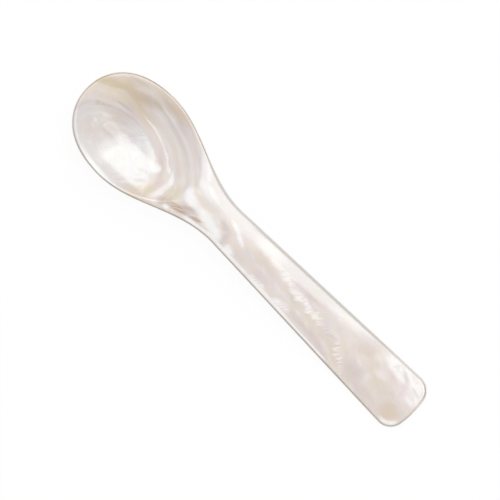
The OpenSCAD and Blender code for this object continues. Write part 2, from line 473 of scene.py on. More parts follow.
def carving_tree():
    """Geometry nodes that bend a grid into half a spoon, mirror it and polish it."""
    tree = bpy.data.node_groups.new("carve_spoon", "GeometryNodeTree")
    for name in SIZE_NAMES:
        socket = tree.interface.new_socket(name, in_out="INPUT", socket_type="NodeSocketFloat")
        socket.subtype = "DISTANCE"
    tree.interface.new_socket("shell", in_out="INPUT", socket_type="NodeSocketMaterial")
    tree.interface.new_socket("spoon", in_out="OUTPUT", socket_type="NodeSocketGeometry")
    given = put(tree, "NodeGroupInput")
    size = SimpleNamespace(**{name: term(given, name) for name in SIZE_NAMES})
    rules = SpoonRules(size)

    rows = TOP_ROWS + EDGE_ROWS + UNDERSIDE_ROWS
    grid = put(tree, "GeometryNodeMeshGrid", {
        "Size X": 1.0, "Size Y": 1.0, "Vertices X": rows + 1, "Vertices Y": OUTLINE_STEPS + 1})
    across, onward, _ = split(term(put(tree, "GeometryNodeInputPosition")))
    row = (across + 0.5) * float(rows)
    s, y, way_s, way_y = rules.outline(onward + 0.5)
    way = (way_s.squared() + way_y.squared()).root()

    # Round the edge, the angle runs from a right angle on top to minus a right angle underneath
    angle = (1.0 - (row - TOP_ROWS) * (2.0 / EDGE_ROWS)).kept_in(-1.0, 1.0) * (math.pi / 2)
    edge_inset = rules.edge_radius(s) * (1.0 - angle.math("COSINE"))
    upper = angle.math("SINE") * 0.5 + 0.5

    # Inside the edge, the places run to a middle line that is shorter than the spoon at both ends
    top_share = (1.0 - row / float(TOP_ROWS)).above(0.0).power(ROW_CROWDING)
    under_row = row - float(TOP_ROWS + EDGE_ROWS)
    under_share = (under_row / float(UNDERSIDE_ROWS)).above(0.0).power(ROW_CROWDING)
    inner_share = top_share + under_share
    middle_start = size.bowl_widest * 0.5
    middle_stop = size.spoon_length - size.corner_radius
    middle_s = between(middle_start, middle_stop, s / size.spoon_length)
    place_s = between(s + way_y / way * edge_inset, middle_s, inner_share)
    place_y = (y - way_s / way * edge_inset) * (1.0 - inner_share)
    blank_top = rules.top(place_s, place_y)
    hollow = rules.hollow(place_s, place_y)
    scooped = soft_minimum(blank_top, hollow, size.crease_softness)
    height = between(rules.underside(place_s, place_y), scooped, upper)
    place = gather(place_s - size.spoon_length * 0.5, place_y, height)

    # The finish reads how far a place lies inside the outline and in the hollow, and which side it is on
    inset = ((place_s - s).squared() + (place_y - y).squared()).root()
    half = term(grid, "Mesh")
    for name, value in (("inset", inset), ("scoop", blank_top - hollow), ("upper", upper)):
        half = term(put(tree, "GeometryNodeStoreNamedAttribute", {
            "Geometry": half, "Name": name, "Value": value}, data_type="FLOAT", domain="POINT"))
    half = term(put(tree, "GeometryNodeSetPosition", {"Geometry": half, "Position": place}))
    mirrored = term(put(tree, "GeometryNodeTransform", {"Geometry": half, "Scale": (1.0, -1.0, 1.0)}))
    half = term(put(tree, "GeometryNodeFlipFaces", {"Mesh": half}))
    join = put(tree, "GeometryNodeJoinGeometry")
    tree.links.new(half.socket, join.inputs[0])
    tree.links.new(mirrored.socket, join.inputs[0])
    whole = term(put(tree, "GeometryNodeMergeByDistance",
                     {"Geometry": term(join), "Distance": MERGE_DISTANCE}))

    # Hand polishing leaves the upper side a little uneven
    unevenness = term(put(tree, "ShaderNodeTexNoise", {"Scale": RIPPLE_WAVES, "Detail": 1.0}))
    side, inside, scoop = [
        term(put(tree, "GeometryNodeInputNamedAttribute", {"Name": name}, data_type="FLOAT"))
        for name in ("upper", "inset", "scoop")]
    height = size.polish_ripple
    height = between(height * RIPPLE_OUTSIDE, height, (scoop / MM).kept_in(0.0, 1.0))
    ripple = (unevenness - 0.5) * 2.0 * height * side.is_over(0.99)
    ripple = ripple * (inside / RIPPLE_FADE).kept_in(0.0, 1.0)
    nothing = ripple * 0.0
    whole = term(put(tree, "GeometryNodeSetPosition",
                     {"Geometry": whole, "Offset": gather(nothing, nothing, ripple)}))
    whole = term(put(tree, "GeometryNodeSetShadeSmooth", {"Geometry": whole, "Shade Smooth": True}))
    whole = term(put(tree, "GeometryNodeRealizeInstances", {"Geometry": whole}))
    whole = term(put(tree, "GeometryNodeSetMaterial",
                     {"Geometry": whole, "Material": term(given, "shell")}))
    put(tree, "NodeGroupOutput", {"spoon": whole})
    return tree


def carved(name, tree, values):
    """A plain mesh object of what a node tree makes from the given values."""
    piece = bpy.data.objects.new(name, bpy.data.meshes.new(name))
    bpy.context.scene.collection.objects.link(piece)
    modifier = piece.modifiers.new("carving", "NODES")
    modifier.node_group = tree
    for item in tree.interface.items_tree:
        if item.in_out == "INPUT":
            modifier[item.identifier] = values[item.name]
    view = bpy.context.evaluated_depsgraph_get()
    mesh = bpy.data.meshes.new_from_object(piece.evaluated_get(view), preserve_all_data_layers=True,
                                           depsgraph=view)
    piece.modifiers.clear()
    blank = piece.data
    piece.data = mesh
    bpy.data.meshes.remove(blank)
    mesh.name = name
    return piece


def require_solid(piece):
    """Stop if a piece isn't one closed solid whose faces point outwards."""
    solid = bmesh.new()
    solid.from_mesh(piece.data)
    is_open = any(not edge.is_manifold for edge in solid.edges)
    volume = solid.calc_volume(signed=True)
    solid.free()
    if is_open or volume <= 0.0:
        raise RuntimeError(f"{piece.name} isn't a closed solid: volume {volume}")


def rise(value, low, high):
    """A mask that goes from 0 at the low value to 1 at the high one."""
    return term(put(value.tree, "ShaderNodeMapRange", {
        "Value": value, "From Min": low, "From Max": high}, interpolation_type="SMOOTHSTEP"))


def ridge(value, centre, reach):
    """A mask that is 1 where a value is at its centre and 0 a reach away from it."""
    return rise(abs(value - centre), reach, 0.0)


def spot(s, y, centre, size, turn=0.0, core=0.1):
    """A mask in the form of a soft ellipse: its middle, half-lengths, turn in degrees and solid core."""
    cosine = math.cos(math.radians(turn))
    sine = math.sin(math.radians(turn))
    forward = (cosine * centre[0] + sine * centre[1]) / -size[0]
    sideways = (sine * centre[0] - cosine * centre[1]) / size[1]
    along = s.math("MULTIPLY_ADD", cosine / size[0], y.math("MULTIPLY_ADD", sine / size[0], forward))
    across = s.math("MULTIPLY_ADD", -sine / size[1], y.math("MULTIPLY_ADD", cosine / size[1], sideways))
    return rise(along.math("MULTIPLY_ADD", along, across.squared()).root(), 1.0, core)


def over(under, top, mask, blend="MIX"):
    """One colour laid over another by a mask."""
    return term(put(mask.tree, "ShaderNodeMix", {0: mask, 6: under, 7: top}, data_type="RGBA",
                    blend_type=blend), 2)


class ShellPaint:
    """Palette, places and grain of the shell. Places are in millimetres from the tip of the bowl."""

    def __init__(self, tree, shape, colours):
        self.tree = tree
        self.palette = {name: tuple(getattr(colours, name)) + (1.0,) for name in COLOUR_NAMES}
        coordinates = put(tree, "ShaderNodeTexCoord")
        tip = shape.spoon_length / 2 / MM
        self.place = self.mapped(term(coordinates, "Object"), "POINT", (tip, 0.0, 0.0), (1 / MM,) * 3)
        self.inset = self.attribute("inset") * (1 / MM)
        self.scoop = self.attribute("scoop") * (1 / MM)
        self.upper = self.attribute("upper")

    def attribute(self, name):
        """A value that the carving left on the mesh."""
        return term(put(self.tree, "ShaderNodeAttribute", attribute_name=name), "Fac")

    def mapped(self, place, way, centre, size, turn=0.0):
        """Places that are moved, scaled and turned."""
        return term(put(self.tree, "ShaderNodeMapping", {
            "Vector": place, "Location": centre, "Scale": size, "Rotation": (0.0, 0.0, math.radians(turn))},
            vector_type=way))

    def wandered(self, period, reach, place=None):
        """Places that are pushed about, so that what is drawn on them wavers."""
        noise = put(self.tree, "ShaderNodeTexNoise", {
            "Vector": self.mapped(place or self.place, "TEXTURE", (0.0, 0.0, 0.0), period),
            "Scale": 1.0, "Detail": 2.0})
        push = term(put(self.tree, "ShaderNodeVectorMath", {
            0: term(noise, "Color"), 1: (-0.5,) * 3}, operation="ADD"))
        return term(put(self.tree, "ShaderNodeVectorMath", {
            0: push, 1: (2.0 * reach,) * 3, 2: place or self.place}, operation="MULTIPLY_ADD"))

    def grain(self, period, detail=3.0, place=None, start=0.0, turn=0.0):
        """Noise of 0 to 1 whose waves have a given length along and across the spoon."""
        mapped = self.mapped(place or self.place, "TEXTURE", (start, start, start), period, turn)
        return term(put(self.tree, "ShaderNodeTexNoise", {
            "Vector": mapped, "Scale": 1.0, "Detail": detail, "Roughness": 0.55}))

    def tint(self, name, whiteness=0.0):
        """A colour of the palette with some white in it."""
        return tuple(level + (1.0 - level) * whiteness for level in self.palette[name])

    def bands(self, value, stops):
        """Colours along a value: where each one lies, its name and how much white is in it."""
        last = stops[-1][0]
        node = put(self.tree, "ShaderNodeValToRGB", {0: value / last})
        ramp = node.color_ramp
        for index, (where, name, whiteness) in enumerate(stops):
            element = ramp.elements[index] if index < 2 else ramp.elements.new(1.0)
            element.position = where / last
            element.color = self.tint(name, whiteness)
        return term(node, "Color")

    def barbs(self, place, turn, start=0.0, width=0.55):
        """Fine strokes like those of a feather, as a mask."""
        return rise(self.grain((3.2, width, 2.0), 2.0, place, start, turn), 0.36, 0.62)


class Layers:
    """Colours of the palette that are laid on the shell one over the other."""

    def __init__(self, paint, colour):
        self.paint = paint
        self.colour = colour

    def lay(self, name, mask):
        """Cover what is there with a colour."""
        self.colour = over(self.colour, self.paint.palette[name], mask)

    def glaze(self, name, mask):
        """Tint what is there with a colour, like clear glass."""
        self.colour = over(self.colour, self.paint.palette[name], mask, "MULTIPLY")

    def lay_patches(self, spots, s, y, strokes=1.0):
        """Soft ellipses of a colour: its name, their middle, half-lengths, turn and strength."""
        for name, centre, size, turn, strength in spots:
            self.lay(name, spot(s, y, centre, size, turn, 0.2) * strength * strokes)


# Patches in the hollow: colour, middle, half-lengths, turn and strength
BOWL_PATCHES = [
    ("gold", (6.0, 2.0), (3.6, 5.0), 0.0, 0.22),
    ("umber", (12.4, 4.7), (8.4, 3.2), 0.0, 0.28),
    ("gold", (13.0, 5.5), (8.4, 2.2), 0.0, 0.25),
    ("gold", (7.4, 8.9), (4.6, 1.7), 28.0, 0.35),
    ("gold", (10.6, 7.4), (5.0, 1.5), 15.0, 0.6),
    ("umber", (12.8, 8.0), (5.4, 2.0), 12.0, 0.4),
    ("umber", (14.4, 9.0), (3.0, 0.6), -2.0, 0.25),
    ("gold", (18.5, 11.2), (9.0, 2.0), -4.0, 0.6),
    ("umber", (17.8, 10.4), (6.0, 1.6), -4.0, 0.2),
    ("cream", (1.2, 0.4), (1.1, 2.4), 0.0, 0.8),
    ("olive", (24.0, 5.3), (4.5, 1.1), -25.0, 0.15),
    ("umber", (22.6, 9.2), (4.0, 1.1), -16.0, 0.2),
    ("olive", (30.0, 1.4), (4.0, 1.6), -56.0, 0.25),
    ("mauve", (9.2, 3.1), (3.8, 0.5), 12.0, 0.5),
    # The next taupe and mauve patches, all left of 15 mm, are partly purplish mottles and partly painted
    # shade that takes back the lamps' reflection there
    ("taupe", (10.6, 0.2), (6.0, 3.0), 18.0, 0.85),
    ("mauve", (11.2, -3.3), (4.0, 2.6), 8.0, 0.7),
    ("taupe", (8.0, -5.6), (6.2, 4.4), -15.0, 0.5),
    ("sea_grey", (19.0, -10.5), (6.0, 1.4), 6.0, 0.38),
    ("mauve", (14.2, -2.0), (5.0, 1.9), 15.0, 0.5),
    # The next three pearl patches are painted highlight that widens the lamps' reflection in the hollow
    ("pearl", (14.0, -7.8), (3.2, 4.0), 0.0, 0.36),
    ("pearl", (25.4, -2.0), (1.8, 1.7), 0.0, 0.9),
    ("pearl", (23.0, -0.4), (2.6, 0.9), -28.0, 0.3),
    ("taupe", (22.6, -10.0), (3.6, 1.3), 14.0, 0.5),
    ("olive", (25.6, -8.7), (3.6, 1.7), 38.0, 0.6),
    ("umber", (25.8, -9.4), (6.6, 2.2), 25.0, 0.3),
    ("streak_and_rim_shade", (24.6, -6.8), (2.4, 0.8), 42.0, 0.3),
    ("streak_and_rim_shade", (23.6, -4.6), (1.9, 0.6), 24.0, 0.2),
    ("blush", (28.6, -3.8), (1.2, 1.8), 0.0, 0.45),
    ("olive", (27.9, -7.0), (1.8, 3.2), -12.0, 0.65),
    ("olive", (32.4, -3.6), (2.4, 4.4), -16.0, 0.75),
    ("umber", (32.0, -6.2), (3.0, 1.8), 48.0, 0.55),
    # Partly white layers and partly a painted highlight of the pearly shine where the hollow meets the neck
    ("pearl", (35.1, -0.6), (1.7, 2.6), 0.0, 0.9),
]


def bowl_figure(paint):
    """Growth bands in the hollow, which nest round a place near its lower side."""
    place = paint.wandered((9.0, 6.0, 6.0), 0.4)
    place = paint.wandered((2.0, 1.5, 2.0), 0.22, place)
    place = paint.wandered((0.7, 0.5, 1.0), 0.12, place)
    s, y, _ = split(place)

    # The bands are longer than wide, and the finest ones waver along them
    nest_s = 14.5
    nest_y = -6.0
    nest_stretch = 1.45
    along = (s - nest_s) / nest_stretch
    across = y - nest_y
    growth = (along.squared() + across.squared()).root()
    striae = term(put(paint.tree, "ShaderNodeTexNoise", {
        "Vector": gather(along / growth * 2.2, across / growth * 2.2, growth * 1.1),
        "Scale": 1.0, "Detail": 4.0, "Roughness": 0.6}))

    # Where the brown line round the inner layers, the edge of the golden ones and an outer line lie
    brown_line = 8.3
    golden_edge = 10.65
    outer_line = 14.6

    # Past the brown line, the layers towards the tip are twice as thick
    growth = growth - rise(s, 5.0, 1.0) * 0.8
    growth = growth - (growth - brown_line).above(0.0) * rise(s, 18.0, 7.0) * 0.5
    growth = growth + rise(s, 7.0, 2.5) * rise(growth, 9.2, 10.2) * 0.45
    growth = growth + (striae - 0.5) * 0.6
    back = paint.bands(growth, [
        (0.0, "silver", 0.0), (7.9, "silver", 0.0), (8.5, "rose", 0.0), (10.3, "rose", 0.05),
        (11.3, "taupe", 0.4), (12.4, "rose", 0.0), (13.5, "rose", 0.2), (14.6, "taupe", 0.25),
        (15.4, "rose", 0.25), (16.2, "rose", 0.05), (17.2, "rose", 0.05), (19.5, "rose", 0.0)])
    front = paint.bands(growth, [
        (0.0, "sea_grey", 0.2), (8.1, "sea_grey", 0.1), (8.35, "mauve", 0.3), (8.7, "rose", 0.0),
        (9.0, "rose", 0.0), (9.3, "taupe", 0.3), (9.6, "cream", 0.0), (10.5, "cream", 0.0),
        (10.75, "gold", 0.0), (11.3, "gold", 0.1), (11.9, "gold", 0.4), (12.8, "cream", 0.0),
        (14.5, "cream", 0.1), (19.5, "rose", 0.1)])
    shell = Layers(paint, over(back, front, rise(s, 17.0, 9.0)))
    shell.lay("taupe", ridge(growth, 9.4, 1.1) * rise(s, 21.0, 27.0) * 0.75)
    shell.lay("umber", ridge(growth, 8.4, 0.45) * spot(s, y, (5.0, -0.8), (2.0, 1.8)) * 0.6)
    brown = ridge(growth, brown_line, 0.4) * rise(s, 5.5, 7.0) * rise(s, 18.0, 13.0)
    shell.lay("mauve", brown * 0.4)
    brown = ridge(growth, outer_line, 0.6) * rise(s, 14.5, 17.0) * rise(s, 31.0, 20.0)
    shell.lay("mauve", brown * 0.2)
    shell.lay("olive", ridge(growth, 11.0, 0.6) * spot(s, y, (9.0, 6.3), (4.0, 2.0)))
    shell.lay_patches(BOWL_PATCHES, s, y)

    # A pale line goes on from the edge of the golden layers, and a wider one follows it round the back
    barbs = paint.barbs(place, 48.0, 9.0)
    pale = rise(abs(growth - golden_edge), 0.38, 0.1) * rise(s, 12.5, 18.0) * rise(y, -0.9, -0.2)
    shell.lay("peach", pale * 0.9)
    width = 0.4 + rise(y, 0.0, -2.5) * 0.3
    pale = rise(abs(growth - (y * 0.26 + 12.0).below(11.72)) / width, 1.0, 0.3)
    pale = pale * rise(s, 27.6, 28.6) * rise(y, 0.6, -0.2) * rise(y, -9.0, -6.5)
    pale = pale * (barbs * 0.2 + 0.35 + ridge(y, -1.6, 1.8) * 0.45)
    shell.lay("pearl", pale.above(spot(s, y, (28.1, -0.2), (1.5, 0.5), -38.0) * 0.8))

    # The inner layers are white and feathered to the back; this white is partly the layers' own and partly a
    # painted highlight that widens the lamps' reflection in the hollow
    inner = rise(growth, brown_line + 0.2, 7.9)
    mottle = rise(paint.grain((2.4, 1.8, 2.0), 2.0, place, 5.0), 0.42, 0.64)
    shell.lay("pearl", mottle * spot(s, y, (7.4, -3.2), (2.8, 2.4), 0.0, 0.2) * 0.4)
    white = inner * rise(s + barbs * 2.0, 17.0, 21.0) * rise(y, -4.5, -1.5)
    shell.lay("pearl", white * (0.2 + rise(growth, 6.5, 7.8) * 0.5))
    strokes = spot(s, y, (16.0, -1.4), (4.6, 2.0), 20.0, 0.3)
    shell.lay("taupe", strokes * (1.0 - barbs) * 0.24)
    shell.lay("pearl", strokes * barbs * 0.15)
    low = spot(s, y, (20.0, -10.2), (5.5, 1.6), 8.0, 0.3)
    shell.lay("taupe", low * (1.0 - barbs * 0.6) * 0.5)
    shell.lay("pearl", low * barbs * 0.15)
    shell.lay("taupe", rise(striae, 0.52, 0.74) * 0.35)
    shell.lay("pearl", rise(striae, 0.46, 0.28) * 0.25)
    return shell.colour


# Patches of the neck and the handle: plain, feathered, in the clouds at the end, and streaked
PLAIN_PATCHES = [
    ("sea_grey", (41.8, 0.7), (6.5, 1.5), -4.0, 0.5),
    ("taupe", (54.0, -2.6), (4.0, 1.8), 0.0, 0.25),
    ("sea_grey", (55.5, -1.0), (3.0, 1.4), -20.0, 0.5),
    ("taupe", (60.0, -2.8), (5.0, 1.7), 0.0, 0.2),
    ("mauve", (72.5, 2.3), (7.5, 1.0), 3.0, 0.33),
    ("sea_grey", (81.0, 1.8), (5.5, 1.7), 0.0, 0.5),
    ("olive", (84.6, -2.3), (4.6, 1.6), -16.0, 0.35),
    ("gold", (88.5, -5.2), (4.0, 1.5), -20.0, 0.3),
    ("olive", (91.3, 3.0), (3.6, 2.2), 0.0, 0.4),
    ("taupe", (92.0, 3.0), (3.2, 2.0), 0.0, 0.35),
    ("taupe", (92.5, -3.4), (4.6, 3.4), -25.0, 0.7),
    ("taupe", (95.0, -2.2), (3.0, 2.0), 0.0, 0.25),
    ("taupe", (98.0, -5.0), (5.0, 2.2), 0.0, 0.55),
    ("olive", (99.6, -1.2), (7.0, 2.8), -8.0, 0.45),
    ("taupe", (105.6, -3.8), (5.0, 3.6), 15.0, 0.7),
    ("gold", (105.8, -4.4), (4.4, 2.8), 15.0, 0.45),
    ("blush", (92.3, 2.4), (1.8, 1.2), 20.0, 0.25),
    ("blush", (100.0, 3.0), (2.0, 0.9), -20.0, 0.3),
    ("blush", (105.0, -2.4), (2.2, 1.1), 20.0, 0.4),
    ("pearl", (37.6, 2.8), (6.5, 1.8), -8.0, 0.56),
    ("pearl", (58.4, 3.6), (6.6, 2.2), 2.0, 0.34),
    ("pearl", (61.6, 2.0), (2.6, 1.1), 0.0, 0.4),
    ("olive", (95.4, 1.2), (2.6, 2.4), 0.0, 0.35),
    ("pearl", (84.0, 4.8), (10.0, 1.8), 5.0, 0.3),
]
FEATHERED_PATCHES = [
    # The pearl patches of the neck, up to 51 mm, are partly white layers and partly painted highlights of
    # the pearly shine
    ("pearl", (35.4, -1.0), (2.4, 2.0), 0.0, 0.9),
    ("pearl", (36.8, -1.4), (3.0, 1.9), -10.0, 1.0),
    ("pearl", (39.2, -5.2), (2.2, 0.6), 12.0, 0.9),
    ("pearl", (42.5, -2.2), (6.4, 1.9), -12.0, 1.0),
    ("pearl", (45.9, -3.3), (3.0, 2.3), 0.0, 1.0),
    ("pearl", (49.0, 1.4), (3.0, 0.9), -16.0, 0.75),
    ("pearl", (51.6, 0.1), (2.8, 0.9), -24.0, 0.9),
    ("pearl", (51.0, -3.9), (2.3, 1.7), 0.0, 1.0),
    ("pearl", (33.3, -6.9), (1.5, 0.8), 20.0, 1.0),
    ("pearl", (98.0, 0.7), (2.8, 1.2), 8.0, 0.3),
    ("pearl", (95.0, 3.8), (2.4, 1.8), 40.0, 0.25),
    ("pearl", (96.2, -1.8), (1.4, 1.6), 0.0, 0.25),
]
CLOUD_VEINS = [
    ("sea_grey", (102.6, 4.9), (2.2, 0.6), -35.0, 0.8),
    ("sea_grey", (106.6, 3.8), (2.0, 0.6), -15.0, 0.6),
    ("sea_grey", (99.6, 5.2), (1.6, 0.7), 50.0, 0.4),
]
STREAKED_PATCHES = [
    ("taupe", (46.6, -0.4), (3.0, 1.3), -25.0, 0.9),
    ("taupe", (48.9, -2.4), (1.5, 3.0), 20.0, 0.7),
    ("mauve", (44.6, -3.7), (2.0, 0.5), 10.0, 0.3),
    # The pearl patches at 61.6 and 69.2 mm on the near side are painted highlights
    ("pearl", (61.6, -4.3), (4.4, 1.0), 0.0, 1.0),
    ("pearl", (66.0, 1.3), (3.6, 1.4), -8.0, 0.75),
    ("pearl", (69.2, -4.2), (3.6, 1.5), 12.0, 1.0),
    ("pearl", (70.4, 0.4), (3.4, 1.1), 8.0, 0.9),
]

# Dark streaks of the neck, each with its solid core too, and with how much follows the grain or stays plain
NECK_STREAKS = [
    ("mauve", (37.6, -3.4), (3.4, 1.1), 14.0, 0.2, 0.4, 0.3),
    ("umber", (35.6, -5.2), (4.2, 1.3), 14.0, 0.3, 0.75, 0.27),
    ("umber", (40.5, -4.1), (2.2, 0.9), 22.0, 0.3, 0.6, 0.27),
    ("umber", (32.4, -6.4), (2.0, 0.9), 38.0, 0.2, 0.5, 0.3),
]


def handle_figure(paint):
    """Streaks, a golden band and a feathered line along the neck and the handle."""
    place = paint.wandered((8.0, 5.0, 5.0), 0.4)
    place = paint.wandered((1.6, 1.3, 2.0), 0.22, place)
    place = paint.wandered((0.7, 0.5, 1.0), 0.14, place)
    s, y, z = split(place)

    # Heights above the feathered line, which turns down to the near side before the end
    vein_start = 7.6
    vein_fall = 0.1
    bend_start = 82.0
    bend = 0.05
    vein = y - (vein_start - s * vein_fall - (s - bend_start).above(0.0).squared() * bend)
    streaks = paint.grain((12.0, 1.2, 3.0), 4.0, gather(s, vein, z))
    clouds = paint.grain((5.0, 2.6, 4.0), 3.0, place, 40.0, -25.0)
    shell = Layers(paint, paint.palette["rose"])
    shell.lay("cream", rise(streaks, 0.42, 0.66) * 0.5)
    shell.lay("taupe", rise(clouds, 0.48, 0.72) * 0.45)
    shell.lay("pearl", rise(clouds, 0.45, 0.25) * 0.35)
    flank = rise(y - ((s - 38.0).squared() * 0.0012 + 1.6), -0.25, 0.25) * rise(s, 95.0, 88.0)
    shell.lay("sea_grey", flank * 0.9)
    shell.lay("pearl", spot(s, y, (33.6, 6.2), (6.0, 2.2), -42.0, 0.3) * 0.4)
    middle = rise(s, 52.0, 57.0) * rise(s, 90.0, 86.0)
    band_width = 1.1 + rise(s, 66.0, 58.0) * 0.6
    golden = rise(abs(vein + 1.3) / band_width, 1.0, 0.2) * middle
    shell.lay("olive", golden * (0.2 + rise(s, 66.0, 58.0) * 0.08))
    shell.lay("pearl", ridge(vein, -2.7, 0.6) * middle * rise(clouds, 0.55, 0.4) * 0.3)
    shell.lay("taupe", ridge(vein, -4.0, 1.2) * middle * rise(s, 68.0, 73.0) * 0.4)
    shell.lay_patches(PLAIN_PATCHES, s, y)
    barbs = paint.barbs(place, 50.0, 0.0, 0.44)
    shell.lay_patches(FEATHERED_PATCHES, s, y, barbs * 0.25 + 0.75)
    shell.lay_patches(STREAKED_PATCHES, s, y, barbs * 0.75 + 0.25)

    # The feathered line has ragged barbs that lean towards the end, bold at first and then like beads
    ragged = vein + (paint.grain((5.0, 0.9, 3.0), 0.0, place, 70.0, 50.0) - 0.5) * 2.4
    patchy = rise(paint.grain((2.6, 2.0, 9.0), 1.0, place, 20.0), 0.4, 0.56)
    bold = ridge(s, 74.0, 5.5)
    feather = rise(abs(ragged + 0.1), 1.2, 0.3) * rise(s, 67.0, 70.5) * rise(s, 92.5, 91.0)
    beads = rise(s, 82.0, 86.0) * 0.25
    strength = (bold * 0.95 + patchy * 0.4 + beads + 0.25).below(1.0)
    feather_strokes = feather * barbs.above(bold * 0.4)
    shell.lay("peach", feather_strokes * strength)
    shell.lay("pearl", feather_strokes * bold * 0.7)
    shell.lay("mauve", feather * (1.0 - barbs) * rise(s, 76.0, 84.0) * 0.25)

    # Pale clouds at the end, a painted highlight on the near corner, and the dark streaks of the neck
    cloud = rise(paint.grain((3.5, 1.8, 3.0), 3.0, place, 33.0, -30.0), 0.34, 0.56)
    cloud = spot(s, y, (102.0, 5.4), (9.0, 2.8), -3.0, 0.5).above(
        spot(s, y, (107.3, 2.8), (3.2, 3.6), 0.0, 0.4)) * (cloud * 0.65 + 0.3)
    shell.lay("pearl", cloud * 0.86)
    shell.lay_patches(CLOUD_VEINS, s, y)
    # Painted highlight on the near corner of the end
    corner = ridge(paint.inset, 1.0, 0.9) * spot(s, y, (107.2, -5.7), (3.4, 2.3), 0.0, 0.4)
    shell.lay("pearl", corner * 0.85)
    wood = rise(paint.grain((5.0, 0.5, 2.0), 3.0, place, 3.0, 28.0), 0.36, 0.62)
    for name, centre, size, turn, core, grained, plain in NECK_STREAKS:
        shell.lay(name, spot(s, y, centre, size, turn, core) * (wood * grained + plain))
    return shell.colour


def underside_figure(paint):
    """Rings of cut layers under the bowl, and long streaks under the handle."""
    place = paint.wandered((9.0, 6.0, 6.0), 0.9)
    s, y, _ = split(place)
    waver = paint.grain((3.0, 1.6, 2.0), 3.0, place, 12.0)
    ring_s = 17.0
    ring_y = 1.5
    ring_stretch = 1.4
    along = (s - ring_s) / ring_stretch
    rings = (along.squared() + (y - ring_y).squared()).root() + (waver - 0.5) * 3.2
    bowl = paint.bands(rings.above(0.0), [
        (0.0, "pearl", 0.0), (2.4, "silver", 0.3), (4.0, "rose", 0.2), (4.6, "taupe", 0.35),
        (5.2, "rose", 0.3), (7.0, "cream", 0.2), (7.6, "taupe", 0.35), (8.2, "cream", 0.6),
        (8.8, "cream", 0.1), (10.2, "gold", 0.3), (11.0, "cream", 0.3), (12.4, "rose", 0.1),
        (16.0, "sea_grey", 0.2)])
    streaks = paint.grain((14.0, 1.4, 3.0), 4.0, place, 80.0, 4.0)
    clouds = paint.grain((6.0, 2.6, 4.0), 3.0, place, 44.0, -20.0)
    handle = Layers(paint, paint.palette["rose"])
    handle.lay("cream", rise(streaks, 0.4, 0.6))
    handle.lay("gold", rise(streaks, 0.56, 0.68) * 0.5)
    handle.lay("taupe", rise(clouds, 0.46, 0.28) * 0.7)
    handle.lay("pearl", rise(clouds, 0.52, 0.7) * 0.9)
    shell = Layers(paint, over(bowl, handle.colour, rise(s, 26.0, 40.0)))
    barbs = paint.barbs(place, -40.0, 30.0)
    shell.lay("pearl", barbs * rise(clouds, 0.44, 0.6) * 0.5)
    return shell.colour


def lay_edge_lines(paint, shell):
    """Fine lines round the edge. The dark line all round and the grey band on the far side of the handle are
    painted shade of the rounded edge, and the white lines inside the near edge are painted highlights.
    """
    s, y, _ = split(paint.place)
    far_side = rise(y, -0.5, 0.5)
    near_side = 1.0 - far_side
    handle = rise(s, 31.0, 38.0)
    patchy = rise(paint.grain((5.0, 3.0, 3.0), 2.0, None, 60.0), 0.3, 0.6)
    # Painted highlights: a white line inside the near rim of the bowl, and a ragged one along the near side
    # of the neck and the handle
    lip_highlight = ridge(paint.inset, 1.15, 0.7) * ridge(s, 14.0, 7.5)
    spikes = paint.grain((4.0, 1.2, 3.0), 2.0, None, 90.0, 40.0) * rise(s, 78.0, 66.0) + 0.4
    near_edge_highlight = rise(abs(paint.inset - 0.7) / spikes, 1.0, 0.3) * rise(s, 36.0, 40.0) * rise(s, 88.0, 84.0)
    shell.lay("pearl", (lip_highlight + near_edge_highlight * (patchy * 0.6 + 0.4)) * near_side)
    shell.lay("olive", ridge(paint.inset, 0.7, 0.5) * near_side * ridge(s, 27.5, 8.0))
    shell.lay("cream", ridge(paint.inset, 0.66, 0.26) * far_side * rise(s, 9.0, 16.0) * (1.0 - handle))
    # Painted shade: a grey band where the rounded edge on the far side of the handle turns away from the
    # light
    grey = rise(paint.inset, 0.95, 0.7) * handle * far_side * rise(s, 108.0, 104.0)
    shell.lay("sea_grey", grey)
    shell.lay("streak_and_rim_shade", grey * rise(s, 102.0, 92.0) * 0.25)
    # Painted shade: the dark line where the rounded edge turns away, darkest on the far side of the bowl
    line_place = 0.28 + far_side * handle * 0.14
    line = rise(abs(paint.inset - line_place) / (0.22 + handle * 0.06), 1.0, 0.0)
    line = line * (1.0 - handle * far_side * rise(s, 108.5, 105.0) * 0.7)
    line = line * (1.0 - ridge(y, 1.6, 4.5) * rise(s, 107.0, 108.5) * 0.7)
    faint = ridge(s, 16.0, 5.0) * 0.35 + rise(s, 7.0, 3.0) * 0.3 + rise(s, 98.0, 104.0) * 0.2
    shell.lay("streak_and_rim_shade", line * (1.0 - near_side * faint))
    shell.lay("umber", line * near_side * handle * rise(s, 104.0, 98.0) * 0.35)
    shell.lay("rim_shadow", line * ridge(s, 10.0, 9.0) * far_side * 0.9)


def lay_pearly_tints(paint, shell):
    """The faint tints of a pearly shine, which come and go along the shell."""
    place = paint.wandered((6.0, 4.0, 4.0), 0.8)
    s, y, _ = split(place)
    dull = 1.0 - spot(s, y, (18.0, -5.0), (9.0, 6.0), 0.0, 0.5) * 0.8
    warmth = paint.grain((4.5, 2.6, 4.0), 2.0, place, 55.0, -30.0)
    shell.glaze("lilac", rise(warmth, 0.5, 0.68) * 0.35)
    shell.glaze("honey", rise(warmth, 0.5, 0.32) * dull * 0.35)
    cool = paint.grain((5.0, 2.2, 4.0), 2.0, place, 75.0, 40.0)
    shell.glaze("mint", rise(cool, 0.52, 0.7) * dull * 0.25)


